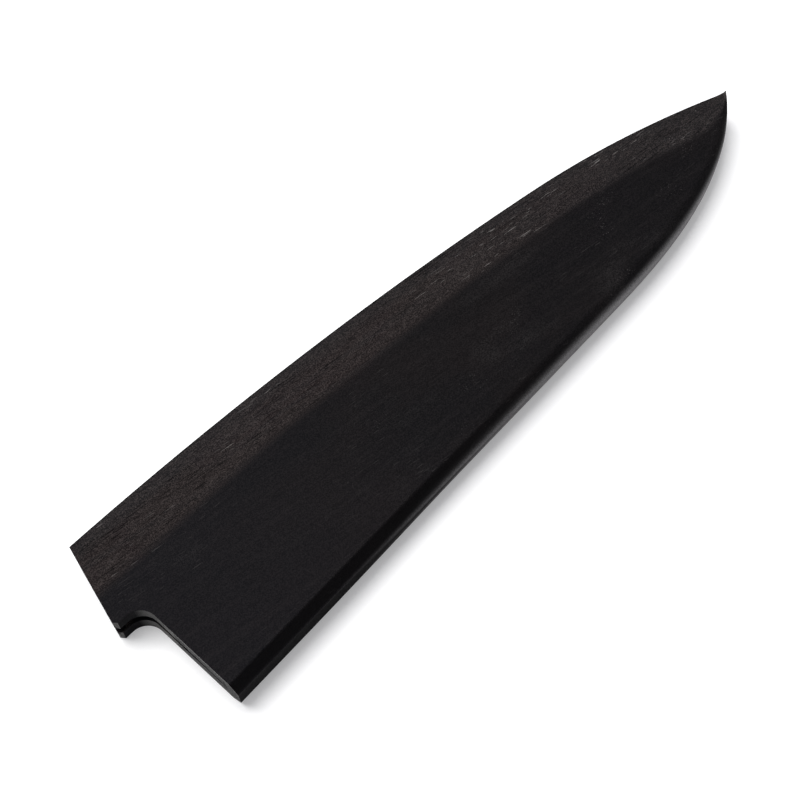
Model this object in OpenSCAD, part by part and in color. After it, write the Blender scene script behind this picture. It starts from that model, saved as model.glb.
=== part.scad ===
// Blade guard for a chef's knife: a wooden sheath of two halves, glued along a
// flat seam. Each half carries one side of the pocket that the blade slides in.
// The guard lies on its rear face. X runs from the mouth to the tip, Y towards
// the back of the blade, and Z up. All sizes are in millimetres.

/* [Sheath] */
// Length from the back corner of the mouth to the tip
sheath_len = 225.5; // [200:0.5:270]
// Thickness over both halves
sheath_t = 13; // [11.5:0.5:18]
// Height from the back corner of the mouth down to the heel corner
heel_drop = 56.8; // [50:0.2:64]
// Angle between the straight edge side and the length
edge_angle = 9.7; // [8:0.1:11]

/* [Back] */
// Radius of the long curve of the back
back_r = 1100; // [900:20:1800]
// Distance from the mouth to the highest point of the back
crown_x = 140; // [120:1:150]
// Distance from the mouth to where the back starts to drop to the tip
drop_x = 160; // [150:1:175]
// How far the back drops below its long curve at the tip
tip_drop = 5.6; // [3:0.1:8]

/* [Belly] */
// Distance from the mouth to where the edge side starts to curve up
belly_x = 155; // [140:1:165]
// How late the belly rises, as a power
belly_rise = 2.6; // [2.2:0.1:3.2]
// How steeply the belly meets the tip, as a power
belly_end = 0.65; // [0.55:0.05:0.85]
// Width of the blunt end at the tip
tip_land = 0.9; // [0.6:0.1:2]

/* [Section] */
// Distance from the back to the soft ridge of the face, at the mouth
ridge_mouth = 15.5; // [12:0.5:18]
// The same distance at the tip
ridge_tip = 9.5; // [8:0.5:12]
// Half the width over which the ridge is blended
ridge_soft = 2; // [1:0.1:3]
// How far the face falls from the ridge to the back
back_fall = 1.5; // [0.8:0.1:2.2]
// Radius of the corner along the back
back_round = 0.7; // [0.4:0.1:1.2]
// Width of the chamfer along the edge side, at the heel
chamfer_w = 3; // [2:0.1:3.8]
// Depth of the same chamfer
chamfer_d = 3; // [2:0.1:4]
// Width of the rounding that the chamfer turns into, towards the tip
round_w = 3.4; // [2.5:0.1:4]
// Depth of the same rounding
round_d = 5.5; // [4:0.1:5.5]
// Where the chamfer starts to turn into the rounding
blend_from = 35; // [20:1:50]
// Where it has turned into the rounding
blend_to = 125; // [90:1:140]

/* [Mouth] */
// Height of the tongue, from the back corner of the mouth to its lower corner
tongue_h = 24.9; // [21:0.1:28]
// How far the tongue's lower corner stands out past the back corner
tongue_lean = 2.65; // [1.5:0.05:4]
// Rise of the tongue's lower side towards the notch, in degrees
tongue_angle = 8; // [4:0.5:12]
// Clipped corner at the lower end of the tongue
tongue_clip = 1.2; // [0.6:0.1:2]
// Distance from the back corner of the mouth to the heel corner, along X
heel_x = 11.5; // [10:0.1:14]
// Radius of the notch between the tongue and the heel
notch_r = 5.3; // [4:0.1:6]

/* [Pocket] */
// Wall between the pocket and the back
back_wall = 5; // [4:0.1:7]
// Wall between the pocket and the edge side
edge_wall = 4.5; // [4:0.1:7]
// Wall between the pocket and the tip
tip_wall = 7; // [6:0.1:12]
// Width of the pocket at the back of the blade, over both halves
slot_back = 5; // [4:0.1:5.4]
// Width of the pocket at the cutting edge, over both halves
slot_edge = 1; // [0.6:0.1:2]
// Height of the pocket at its blunt far end
pocket_land = 2; // [1:0.1:3]

/* [Hidden] */
// Half thickness: the height of the seam
seam_z = sheath_t / 2;
// How far a cutter runs past the face that it opens
over = 2;
// Reach of the mouth cutter beyond the outline
far = 30;
// Steps along the straight stretch, along the belly, over the edge and round the notch
straight_steps = 22;
belly_steps = 24;
edge_steps = 8;
notch_steps = 18;
// Smallest wall left under the edge rounding, at the seam
seam_land = 0.6;
stained_wood = "#2b2726";

back_crown = back_r - sqrt(back_r * back_r - crown_x * crown_x);
pocket_len = sheath_len - tip_wall;
// Lowest X, at the upper end of the tongue's clipped corner
front_x = tongue_x(tongue_clip - tongue_h);
mid_x = (front_x + sheath_len) / 2;
mid_y = (back_crown - heel_drop) / 2;

function mix(a, b, t) = a + (b - a) * t;
function ramp(x, from, to) = min(1, max(0, (x - from) / (to - from)));
function smooth(t) = t * t * (3 - 2 * t);

// Outline of the back: one long arc that drops to the tip
function back_y(x) =
    back_crown - back_r + sqrt(back_r * back_r - pow(x - crown_x, 2))
    - tip_drop * pow(ramp(x, drop_x, sheath_len), 2);

// Outline of the edge side: a straight line, then the belly up to the tip
function edge_line(x) = (x - heel_x) * tan(edge_angle) - heel_drop;
function belly(t) = 1 - pow(1 - pow(t, belly_rise), belly_end);
function edge_y(x) = min(
    mix(edge_line(x), edge_line(x) + back_y(sheath_len) - edge_line(sheath_len),
        belly(ramp(x, belly_x, sheath_len))),
    back_y(x) - tip_land);

// Outline of the pocket: the same curves, moved in by the walls
function pocket_back(x) = back_y(x) - back_wall;
function pocket_line(x) = edge_line(x) + edge_wall / cos(edge_angle);
function pocket_edge(x) = min(
    pocket_line(x) + (pocket_back(pocket_len) - pocket_line(pocket_len))
        * belly(ramp(x, belly_x, pocket_len)),
    pocket_back(x) - pocket_land);

// Stations along X that crowd together towards the far end
function stations(end_x) = concat(
    [for (k = [0:straight_steps - 1]) mix(front_x - far / 2, belly_x, k / straight_steps)],
    [for (k = [0:belly_steps]) mix(belly_x, end_x, sin(90 * k / belly_steps))]);

// One point of the edge profile, from the face (s = 0) down to the wall (s = 1)
function edge_point(y, w, d, roundness, s) = [
    y + w * (1 - mix(s, sin(90 * s), roundness)),
    sheath_t - d * mix(s, 1 - cos(90 * s), roundness)];

// Half section from the seam, over the face, to the seam at the edge side
function half_section(x) =
    let (
        back = back_y(x),
        edge = edge_y(x),
        height = back - edge,
        ridge = min(mix(ridge_mouth, ridge_tip, ramp(x, 0, sheath_len)), 0.55 * height),
        soft = min(ridge_soft, 0.3 * ridge),
        corner = min(back_round, 0.15 * height),
        roundness = smooth(ramp(x, blend_from, blend_to)),
        side_w = min(mix(chamfer_w, round_w, roundness), 0.3 * height),
        side_d = min(mix(chamfer_d, round_d, roundness), seam_z - seam_land)
    )
    concat(
        [[back, seam_z]],
        [for (a = [0:30:90])
            [back - corner * (1 - cos(a)), sheath_t - back_fall - corner * (1 - sin(a))]],
        [[back - ridge + soft, sheath_t - back_fall * soft / (ridge - corner)]],
        [[back - ridge - soft, sheath_t]],
        [for (k = [0:edge_steps]) edge_point(edge, side_w, side_d, roundness, k / edge_steps)],
        [[edge, seam_z]]);

// Wedge section of the pocket in one half: wide at the back, narrow at the edge
function pocket_section(x) = [
    [pocket_back(x), seam_z - over],
    [pocket_back(x), seam_z + slot_back / 2],
    [pocket_edge(x), seam_z + slot_edge / 2],
    [pocket_edge(x), seam_z - over]];

function ring(x, section) = [for (p = section) [x, p[0], p[1]]];

// Skin through a row of rings that all have the same number of points
module loft(rings) {
    n = len(rings[0]);
    last = (len(rings) - 1) * n;
    sides = [for (i = [0:len(rings) - 2], j = [0:n - 1])
        let (a = i * n + j, b = i * n + (j + 1) % n)
        each [[b, a, a + n], [b, a + n, b + n]]];
    start_cap = [for (j = [0:n - 1]) j];
    end_cap = [for (j = [n - 1:-1:0]) last + j];
    polyhedron([for (r = rings) each r], concat(sides, [start_cap, end_cap]), convexity = 8);
}

// The mouth leans out along the tongue, turns through the notch and runs down the heel
function tongue_x(y) = tongue_lean * y / tongue_h;
function heel_line_x(y) = heel_x - (y + heel_drop) * tan(edge_angle);
// Centre of the notch arc: one radius from the heel line and from the tongue's lower side
heel_reach = heel_x * cos(edge_angle) - heel_drop * sin(edge_angle) - notch_r;
tongue_reach = tongue_lean * sin(tongue_angle) - tongue_h * cos(tongue_angle) - notch_r;
notch_at = [
    heel_reach * cos(tongue_angle) - tongue_reach * sin(edge_angle),
    tongue_reach * cos(edge_angle) + heel_reach * sin(tongue_angle)
    ] / cos(edge_angle - tongue_angle);

module mouth_cut() {
    outline = concat(
        [[front_x - far, far], [tongue_x(far), far], [front_x, tongue_clip - tongue_h]],
        [[tongue_clip - tongue_lean, tongue_clip * tan(tongue_angle) - tongue_h]],
        [for (k = [0:notch_steps])
            let (a = mix(90 + tongue_angle, edge_angle, k / notch_steps))
            notch_at + notch_r * [cos(a), sin(a)]],
        [[heel_line_x(-heel_drop - far), -heel_drop - far], [front_x - far, -heel_drop - far]]);
    translate([0, 0, -over])
        linear_extrude(height = sheath_t + 2 * over)
            polygon(outline);
}

// One half as carved from its board, with the face up and the seam below
module carved_half() {
    translate([-mid_x, -mid_y, 0])
        difference() {
            loft([for (x = stations(sheath_len)) ring(x, half_section(x))]);
            loft([for (x = stations(pocket_len)) ring(x, pocket_section(x))]);
            mouth_cut();
        }
}

// Upper half: the face that shows when the guard lies down
module front_half() {
    color(stained_wood) carved_half();
}

// Lower half: the same carving turned over, which the guard rests on
module rear_half() {
    color(stained_wood)
        translate([0, 0, sheath_t])
            mirror([0, 0, 1])
                carved_half();
}

front_half();
rear_half();
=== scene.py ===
import math

import bmesh
import bpy
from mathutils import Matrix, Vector


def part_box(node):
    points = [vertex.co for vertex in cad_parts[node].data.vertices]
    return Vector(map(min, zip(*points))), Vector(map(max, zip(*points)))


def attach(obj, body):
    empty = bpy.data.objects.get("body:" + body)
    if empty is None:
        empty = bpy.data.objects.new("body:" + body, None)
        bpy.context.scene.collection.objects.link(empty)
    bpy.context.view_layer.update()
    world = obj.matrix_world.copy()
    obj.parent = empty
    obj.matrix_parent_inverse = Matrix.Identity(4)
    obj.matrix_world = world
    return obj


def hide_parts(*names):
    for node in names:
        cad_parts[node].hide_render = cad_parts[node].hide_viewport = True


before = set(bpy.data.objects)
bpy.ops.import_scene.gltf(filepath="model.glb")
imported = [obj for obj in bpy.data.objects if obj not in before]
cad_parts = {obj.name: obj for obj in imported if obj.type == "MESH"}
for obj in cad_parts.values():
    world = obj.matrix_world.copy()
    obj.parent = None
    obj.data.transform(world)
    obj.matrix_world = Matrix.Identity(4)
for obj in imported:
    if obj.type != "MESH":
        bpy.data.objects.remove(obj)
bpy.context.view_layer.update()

# Camera
# The picture is taken by hand from the edge side of the mouth, looking down at the guard
# from about 65 degrees. The lens sees 30 degrees across a frame of 800 pixels.
FRAME_PX = 800
FOCAL_PX = 1500
LOOK_TILT = math.radians(25.32)
LOOK_TURN = math.radians(-38.22)
LOOK_FROM = (-0.1252, -0.1278, 0.3672)

lens = bpy.data.cameras.new("photo_lens")
lens.sensor_width = 36.0
lens.lens = lens.sensor_width * FOCAL_PX / FRAME_PX
lens.clip_start = 0.01
lens.clip_end = 20.0
camera = bpy.data.objects.new("photo_camera", lens)
camera.location = LOOK_FROM
camera.rotation_euler = (LOOK_TILT, 0.0, LOOK_TURN)
bpy.context.scene.collection.objects.link(camera)
bpy.context.scene.camera = camera
bpy.context.scene.view_settings.view_transform = "Standard"

# Table and light
# A plain white table under a broad lamp high on the guard's back side. The room is dark
# near the table's level and brighter overhead, and the camera sees white beyond it all.
TABLE_SIZE = 3.0
TABLE_DROP = 0.0002
TABLE_ALBEDO = (0.8, 0.8, 0.8)
TABLE_LIFT = 0.24
ROOM_LOW = (0.20, 0.20, 0.21)
ROOM_HIGH = (0.40, 0.40, 0.42)
LAMP_TOWARDS = Vector((-0.14, 0.36, 0.92))
LAMP_FAR = 1.1
LAMP_SIZE = 0.75
LAMP_WATTS = 15.5


class Value:
    """A number on a shader socket. Arithmetic on it adds Math nodes to its recipe."""

    def __init__(self, recipe, socket):
        self.recipe = recipe
        self.socket = socket

    def math(self, operation, first, second):
        return self.recipe.value(
            "ShaderNodeMath", 0, {"operation": operation}, {0: first, 1: second})

    def __add__(self, other):
        return self.math("ADD", self, other)

    def __radd__(self, other):
        return self.math("ADD", other, self)

    def __sub__(self, other):
        return self.math("SUBTRACT", self, other)

    def __rsub__(self, other):
        return self.math("SUBTRACT", other, self)

    def __mul__(self, other):
        return self.math("MULTIPLY", self, other)

    def __rmul__(self, other):
        return self.math("MULTIPLY", other, self)

    def __pow__(self, other):
        return self.math("POWER", self, other)

    def above(self, low, high):
        """0 below low and 1 above high, with a smooth step between them."""
        return self.recipe.value(
            "ShaderNodeMapRange", "Result",
            {"interpolation_type": "SMOOTHSTEP"},
            {"Value": self, "From Min": low, "From Max": high, "To Min": 0.0, "To Max": 1.0})


class Recipe:
    """The node tree of one material or of the sky."""

    def __init__(self, tree):
        self.tree = tree
        tree.nodes.clear()

    def node(self, kind, settings, inputs):
        made = self.tree.nodes.new(kind)
        for name, value in settings.items():
            setattr(made, name, value)
        for name, value in inputs.items():
            if isinstance(value, Value):
                self.tree.links.new(value.socket, made.inputs[name])
            else:
                made.inputs[name].default_value = value
        return made

    def value(self, kind, output, settings, inputs):
        return Value(self, self.node(kind, settings, inputs).outputs[output])

    def blend(self, factor, first, second):
        """A colour that goes from first to second as factor goes from 0 to 1."""
        made = self.node("ShaderNodeMix", {"data_type": "RGBA"}, {"Factor": factor})
        for socket, colour in ((made.inputs[6], first), (made.inputs[7], second)):
            if isinstance(colour, Value):
                self.tree.links.new(colour.socket, socket)
            else:
                socket.default_value = (*colour, 1.0)
        return Value(self, made.outputs[2])


def new_material(name):
    material = bpy.data.materials.new(name)
    material.use_nodes = True
    return material, Recipe(material.node_tree)


table_mesh = bmesh.new()
bmesh.ops.create_grid(table_mesh, x_segments=1, y_segments=1, size=TABLE_SIZE / 2)
bmesh.ops.translate(table_mesh, verts=table_mesh.verts, vec=(0.0, 0.0, -TABLE_DROP))
table_data = bpy.data.meshes.new("table_top")
table_mesh.to_mesh(table_data)
table_mesh.free()
table = bpy.data.objects.new("table_top", table_data)
bpy.context.scene.collection.objects.link(table)

white_top, recipe = new_material("white_table")
seen = recipe.value("ShaderNodeLightPath", "Is Camera Ray", {}, {})
matt = recipe.node("ShaderNodeBsdfDiffuse", {}, {"Color": (*TABLE_ALBEDO, 1.0)})
glow = recipe.node("ShaderNodeEmission", {}, {"Strength": seen * TABLE_LIFT})
both = recipe.node("ShaderNodeAddShader", {}, {})
recipe.tree.links.new(matt.outputs[0], both.inputs[0])
recipe.tree.links.new(glow.outputs[0], both.inputs[1])
surface = recipe.node("ShaderNodeOutputMaterial", {}, {})
recipe.tree.links.new(both.outputs[0], surface.inputs["Surface"])
table_data.materials.append(white_top)

room = bpy.data.worlds.new("room")
bpy.context.scene.world = room
room.use_nodes = True
recipe = Recipe(room.node_tree)
direction = recipe.value("ShaderNodeTexCoord", "Generated", {}, {})
height = recipe.value("ShaderNodeSeparateXYZ", "Z", {}, {"Vector": direction})
room_light = recipe.blend(height.above(0.05, 0.95), ROOM_LOW, ROOM_HIGH)
seen = recipe.value("ShaderNodeLightPath", "Is Camera Ray", {}, {})
sky = recipe.node(
    "ShaderNodeBackground", {}, {"Color": recipe.blend(seen, room_light, (1.0, 1.0, 1.0))})
horizon = recipe.node("ShaderNodeOutputWorld", {}, {})
recipe.tree.links.new(sky.outputs[0], horizon.inputs["Surface"])

lamp_data = bpy.data.lights.new("window", "AREA")
lamp_data.shape = "SQUARE"
lamp_data.size = LAMP_SIZE
lamp_data.energy = LAMP_WATTS
lamp = bpy.data.objects.new("window", lamp_data)
lamp.location = LAMP_TOWARDS.normalized() * LAMP_FAR
lamp.rotation_euler = LAMP_TOWARDS.to_track_quat("Z", "Y").to_euler()
bpy.context.scene.collection.objects.link(lamp)


# Stained wood
# Both halves are of one light, open-pored wood with the grain along the guard, sanded and
# soaked in black stain. It stays brownish along the back, where part of its paleness is
# painted light from the lamp on that side. It wears off on the rounding of the edge side,
# which also carries a painted reflection of the white table, while the chamfer and the turn
# of the back corner carry painted shade. The pores, fine scratches and end grain still show.
# Linear colours, from the bare stain to what wear, dust and the saw have left on it, with
# painted shade and a painted reflection among them
STAIN_BLACK = (0.0062, 0.0050, 0.0053)
STAIN_DEEP = (0.0034, 0.0034, 0.0041)
STAIN_COOL = (0.0050, 0.0054, 0.0074)
# Brown of the back band: the stain's own brown, made paler with painted light from the lamp on
# that side
BROWN_STAIN_AND_LIGHT = (0.0170, 0.0126, 0.0122)
STAIN_SLATE = (0.0145, 0.0145, 0.0155)
# Dark of the pores, also used as painted shade on the chamfer and on the back corner
PORE_AND_SHADE = (0.0016, 0.0014, 0.0016)
FIBRE = (0.0260, 0.0225, 0.0230)
BAND_FIBRE = (0.0600, 0.0490, 0.0465)
WORN = (0.0620, 0.0590, 0.0580)
SCRATCHED = (0.1700, 0.1600, 0.1550)
# Pale grey of the edge side's rounding: partly real wear, partly a painted reflection of the
# white table
EDGE_RUB_AND_REFLECTION = (0.3300, 0.3200, 0.3250)
END_GRAIN = (0.1250, 0.1220, 0.1180)
DUST = (0.6000, 0.6000, 0.5800)
GRAIN_TILT = math.radians(1.5)
SCRATCH_TILT = math.radians(3.0)
# Places along the guard, in metres from its middle
COOL_FROM = -0.105
BELLY_FROM = -0.045
BELLY_TO = 0.060
TIP_GREY_AT = 0.10
# Finish of the surface
SPECULAR_LEVEL = 0.03
RELIEF_STRENGTH = 0.55
RELIEF_DEPTH = 0.00016
FLECKS_PER_METRE = 260.0


def stained_wood():
    material, wood = new_material("black_stained_wood")
    at = wood.value("ShaderNodeTexCoord", "Object", {}, {})

    def grain(along, across, detail=2.0, shift=0.0, tilt=GRAIN_TILT):
        """Noise drawn out along the guard, with features 1 / along by 1 / across metres."""
        place = wood.value(
            "ShaderNodeMapping", 0, {"vector_type": "POINT"},
            {"Vector": at, "Location": (shift, shift, shift), "Rotation": (0.0, 0.0, tilt),
             "Scale": (along, across, across)})
        return wood.value(
            "ShaderNodeTexNoise", "Fac", {},
            {"Vector": place, "Scale": 1.0, "Detail": detail, "Roughness": 0.6})

    def painted(name):
        """A value that the mesh of the piece carries under this name."""
        return wood.value("ShaderNodeAttribute", "Fac", {"attribute_name": name}, {})

    # Fall of the band from the face (1 at its foot), depth down the edge side, place along
    fallen = painted("back_fall")
    back_band = fallen.above(0.0, 0.14)
    back_rim = fallen.above(0.60, 0.92)
    # Mask of the turn of the back corner below the band, which gets painted shade
    back_corner_shade = fallen.above(1.0, 1.12)
    depth = painted("edge_depth")
    along = wood.value("ShaderNodeSeparateXYZ", "X", {}, {"Vector": at})
    near_tip = along.above(0.0, TIP_GREY_AT)
    belly = along.above(BELLY_FROM, BELLY_TO)
    # Mask of the chamfer on the edge side, short of the belly, which gets painted shade
    chamfer_shade = (1.0 - belly) * depth.above(0.01, 0.08) * (1.0 - depth.above(0.42, 0.60))
    # Mask of the turn of the edge side's rounding, strongest on the belly, which gets wear and a
    # painted reflection
    edge_turn = belly * depth.above(0.22, 0.95) + (1.0 - belly) * depth.above(0.48, 0.90) * 0.4
    worn_edge = painted("worn_edge")
    cut_end = painted("cut_end")

    # Grain of the wood, from wide clouds to fine tooth, and the marks of use
    cloud = grain(16.0, 34.0, detail=3.0, shift=3.1)
    streak = grain(12.0, 420.0, detail=4.0, shift=7.7)
    fibre = grain(120.0, 2600.0, detail=3.0, shift=1.3)
    tooth = grain(3000.0, 3800.0, detail=2.0, shift=5.9)
    grit = tooth.above(0.38, 0.62)
    coarse = grain(500.0, 1700.0, detail=3.0, shift=29.0).above(0.30, 0.62)
    pore = grain(110.0, 2900.0, detail=1.0, shift=11.0).above(0.60, 0.69)
    pore_field = grain(30.0, 120.0, detail=2.0, shift=2.2).above(0.34, 0.60)
    pore = pore * pore_field
    scratch = grain(210.0, 3300.0, detail=1.0, shift=17.0, tilt=SCRATCH_TILT)
    scratch = scratch.above(0.66, 0.73)
    scratch = scratch * grain(24.0, 90.0, detail=2.0, shift=19.0).above(0.50, 0.62)
    speck = grain(2900.0, 2900.0, detail=0.0, shift=31.0).above(0.74, 0.79)
    speck = speck * grain(40.0, 70.0, detail=2.0, shift=37.0).above(0.54, 0.70)
    rubbed = grain(30.0, 55.0, detail=3.0, shift=23.0).above(0.56, 0.74)

    # Stain first, then grain and pores, then end grain, wear, painted shade and a painted
    # reflection, and dust on top
    stain = wood.blend(cloud.above(0.36, 0.62), STAIN_DEEP, STAIN_BLACK)
    stain = wood.blend((1.0 - along.above(COOL_FROM, 0.0)) * 0.65, stain, STAIN_COOL)
    band_stain_and_light = wood.blend(streak.above(0.44, 0.70) * 0.5, BROWN_STAIN_AND_LIGHT, STAIN_SLATE)
    band_stain_and_light = wood.blend(back_rim * 0.8, band_stain_and_light, STAIN_SLATE)
    band_stain_and_light = wood.blend(near_tip * 0.8, band_stain_and_light, STAIN_SLATE)
    # The back band is painted paler: its brown is the stain's, and part of its lightness is
    # painted light from the lamp on that side
    stain = wood.blend(back_band * 0.92, stain, band_stain_and_light)
    stain = wood.blend(streak.above(0.50, 0.75) * 0.14, stain, FIBRE)
    stain = wood.blend(fibre.above(0.42, 0.78) * (0.16 + 0.20 * back_band), stain, FIBRE)
    stain = wood.blend(grit * 0.24, stain, FIBRE)
    stain = wood.blend(grit * coarse * back_band * 0.46, stain, BAND_FIBRE)
    stain = wood.blend((1.0 - grit) * (0.34 + 0.30 * back_band), stain, PORE_AND_SHADE)
    stain = wood.blend(pore * (0.20 + 0.70 * back_band), stain, PORE_AND_SHADE)
    stain = wood.blend(cut_end * 0.85, stain, END_GRAIN)
    end_pore = tooth.above(0.54, 0.64) * cut_end
    stain = wood.blend(end_pore * 0.7, stain, PORE_AND_SHADE)
    stain = wood.blend(rubbed * grit * 0.16, stain, WORN)
    stain = wood.blend(scratch * (0.10 + 0.60 * back_band), stain, SCRATCHED)
    stain = wood.blend(speck * (0.06 + 0.40 * belly), stain, SCRATCHED)
    # Painted shade: the chamfer of the edge side, which faces away from the lamp, is darkened to
    # the pore colour
    stain = wood.blend(chamfer_shade * 0.75, stain, PORE_AND_SHADE)
    # Painted shade: the rounding of the back corner below the band is darkened to the pore
    # colour
    stain = wood.blend(back_corner_shade * 0.85, stain, PORE_AND_SHADE)
    # Partly real wear and partly a painted reflection of the white table: the rounding of the
    # edge side is lightened to pale grey
    stain = wood.blend(edge_turn * (0.45 + 0.55 * grit) * 0.85, stain, EDGE_RUB_AND_REFLECTION)
    stain = wood.blend(worn_edge * (0.25 + 0.75 * fibre.above(0.35, 0.65)) * 0.45, stain, WORN)

    cells = {"Vector": at, "Scale": FLECKS_PER_METRE}
    fleck_from = wood.value("ShaderNodeTexVoronoi", "Distance", {}, cells)
    fleck_pick = wood.value("ShaderNodeTexVoronoi", "Color", {}, cells)
    picked = wood.value("ShaderNodeSeparateColor", "Red", {}, {"Color": fleck_pick})
    fleck = (1.0 - fleck_from.above(0.035, 0.055)) * picked.above(0.985, 0.990)
    stain = wood.blend(fleck * 0.6, stain, DUST)

    relief = (0.35 * fibre + 0.60 * tooth + 0.15 * streak - 0.9 * pore * (0.3 + 0.7 * back_band)
              - 0.7 * end_pore + 0.4 * scratch)
    bump = wood.value(
        "ShaderNodeBump", "Normal", {},
        {"Height": relief, "Strength": RELIEF_STRENGTH, "Distance": RELIEF_DEPTH})
    shine = 0.62 + 0.12 * tooth - 0.10 * worn_edge - 0.26 * edge_turn - 0.28 * cut_end
    finish = wood.node(
        "ShaderNodeBsdfPrincipled", {},
        {"Base Color": stain, "Roughness": shine, "Normal": bump,
         "Specular IOR Level": SPECULAR_LEVEL})
    surface = wood.node("ShaderNodeOutputMaterial", {}, {})
    wood.tree.links.new(finish.outputs[0], surface.inputs["Surface"])
    return material


wood_finish = stained_wood()


# Front half
# The upper board of the sheath: a flat face, a band that falls to the back, a chamfer
# along the edge side, and one side of the blade pocket carved underneath. Its outer
# corners are broken with sandpaper, and the seam under it is only just eased.
CRISP_ANGLE = math.radians(33.0)
FLAT_ANGLE = math.radians(0.3)
TOUCH = 1e-6
ON_TABLE = 1e-4
LEVEL = 1e-3
BROKEN_CORNER = 0.00030
SEAM_EASE = 0.00005
# Slope, depths and places that tell the faces apart, in metres where they are lengths
BAND_SLOPE = 0.04
BACK_FALL = 0.0015
EDGE_DEPTH = 0.0055
END_FACING = (0.35, 0.50)
HEEL_AT = -0.0995
POCKET_BACK = 0.016
POCKET_END = 0.108


def is_crisp(edge):
    return len(edge.link_faces) == 2 and edge.calc_face_angle(0.0) > CRISP_ANGLE


def touches_height(edge, height):
    return all(abs(vert.co.z - height) < TOUCH for vert in edge.verts)


def on_edge_side(face):
    """Whether a face lies on the outline of the edge side, past the notch and the pocket."""
    middle = face.calc_center_median()
    return middle.x > HEEL_AT and (middle.y < POCKET_BACK or middle.x > POCKET_END)


def carved_half(name, node):
    """Finished half made from a copy of its CAD mesh, with the places of its wear, painted shade
    and painted reflection stored on it.
    """
    low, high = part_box(node)
    face_down = low.z < ON_TABLE
    up = -1.0 if face_down else 1.0
    seam, top = (high.z, low.z) if face_down else (low.z, high.z)
    work = bmesh.new()
    work.from_mesh(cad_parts[node].data)
    bmesh.ops.remove_doubles(work, verts=work.verts, dist=TOUCH)
    bmesh.ops.dissolve_limit(
        work, angle_limit=FLAT_ANGLE, verts=work.verts, edges=work.edges,
        delimit={"NORMAL"})
    worn = work.faces.layers.float.new("worn_edge")
    ends = work.faces.layers.float.new("cut_end")
    depth = work.verts.layers.float.new("edge_depth")
    fall = work.verts.layers.float.new("back_fall")
    work.normal_update()
    for face in work.faces:
        face[ends] = min(1.0, max(0.0, (-face.normal.x - END_FACING[0]) / END_FACING[1]))
        tilt = face.normal.y
        outward = face.normal.z * up > -LEVEL
        if outward and tilt > BAND_SLOPE:
            for vert in face.verts:
                vert[fall] = abs(top - vert.co.z) / BACK_FALL
        if outward and tilt < -LEVEL and on_edge_side(face):
            for vert in face.verts:
                vert[depth] = min(1.0, abs(top - vert.co.z) / EDGE_DEPTH)
    outer = [e for e in work.edges if is_crisp(e) and not touches_height(e, seam)]
    made = bmesh.ops.bevel(
        work, geom=outer, offset=BROKEN_CORNER, offset_type="OFFSET", segments=2,
        profile=0.5, affect="EDGES", material=-1, clamp_overlap=True)
    for face in made["faces"]:
        face[worn] = 1.0
    eased = [e for e in work.edges if is_crisp(e) and touches_height(e, seam)]
    bmesh.ops.bevel(
        work, geom=eased, offset=SEAM_EASE, offset_type="OFFSET", segments=1,
        profile=0.5, affect="EDGES", material=-1, clamp_overlap=True)
    bmesh.ops.triangulate(work, faces=[f for f in work.faces if len(f.verts) > 4])
    data = bpy.data.meshes.new(name)
    work.to_mesh(data)
    work.free()
    data.polygons.foreach_set("use_smooth", [True] * len(data.polygons))
    data.set_sharp_from_angle(angle=CRISP_ANGLE)
    data.materials.append(wood_finish)
    piece = bpy.data.objects.new(name, data)
    bpy.context.scene.collection.objects.link(piece)
    shading = piece.modifiers.new("even_shading", "WEIGHTED_NORMAL")
    shading.weight = 80
    shading.keep_sharp = True
    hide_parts(node)
    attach(piece, "root")


carved_half("front_half_wood", "front_half")

# Rear half
# The lower board, the mirror image of the front one. It is glued to it along the seam and
# the guard lies on its flat face.
carved_half("rear_half_wood", "rear_half")

# The plain CAD halves stay hidden and take the same finish
for half in ("front_half", "rear_half"):
    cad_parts[half].data.materials.clear()
    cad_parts[half].data.materials.append(wood_finish)
